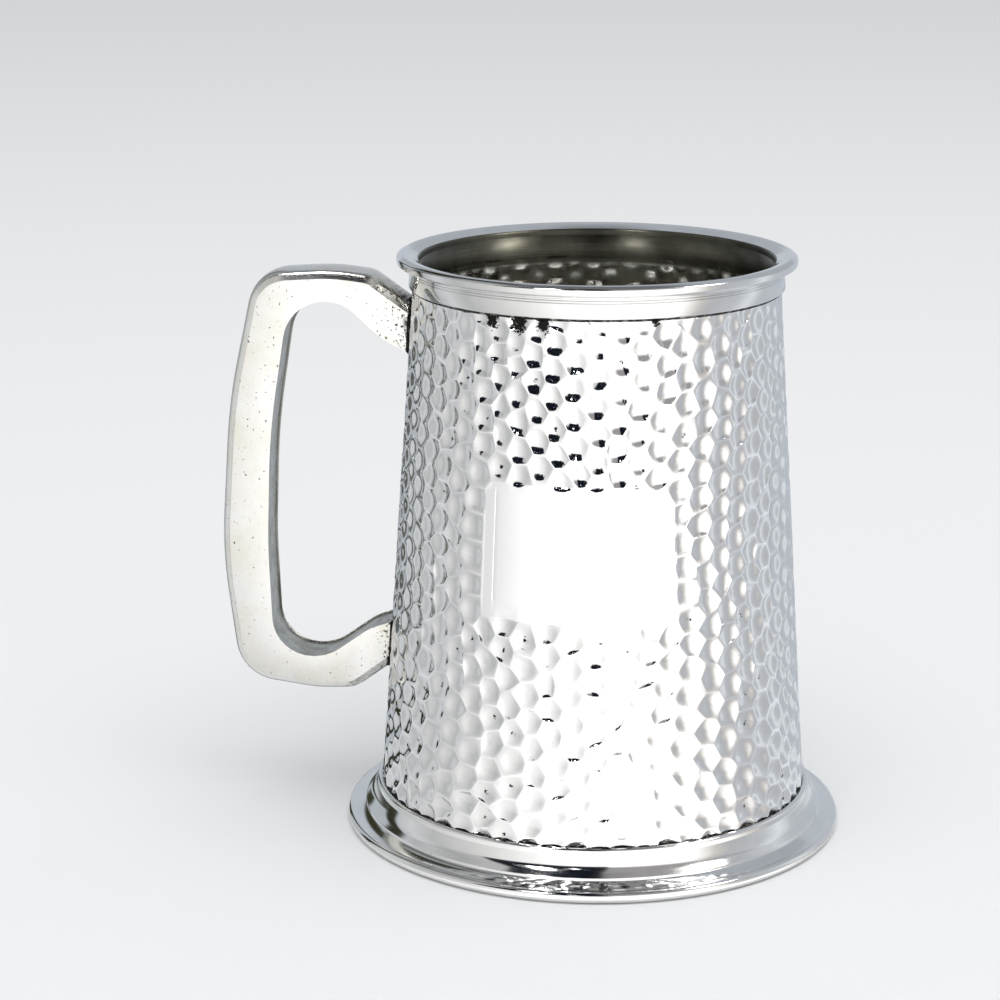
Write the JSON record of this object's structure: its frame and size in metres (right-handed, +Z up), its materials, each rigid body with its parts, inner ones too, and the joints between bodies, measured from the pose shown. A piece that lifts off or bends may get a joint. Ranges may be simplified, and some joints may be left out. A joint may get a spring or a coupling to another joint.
{
  "type": "tankard",
  "caption": "Tapered pewter tankard with a hammered barrel, stepped round foot, reeded lip moulding, plain engraving panel and a squared bar handle; open top, no lid.",
  "frame": {"origin": "on the barrel's axis, in the plane of the flat ring that the foot stands on", "axes": "+Z up along the barrel's axis, -X towards the handle, -Y towards the plain engraving panel"},
  "size_m": [0.1298, 0.1036, 0.12],
  "materials": {
    "hammered_pewter": "polished",
    "lip_pewter": "gloss",
    "spun_pewter": "polished",
    "cast_pewter": "satin",
    "floor_pewter": "satin",
    "solder": "matte"
  },
  "bodies": {
    "root": {"barrel": "hammered_pewter", "side_seam_solder": "solder", "floor_disc": "floor_pewter", "floor_solder": "solder", "foot_moulding": "spun_pewter", "foot_solder": "solder", "handle": "cast_pewter", "lip_joint_solder": "solder", "lip_moulding": "lip_pewter", "lip_solder": "solder", "lower_handle_solder": "solder", "upper_handle_solder": "solder"}
  },
  "joints": []
}
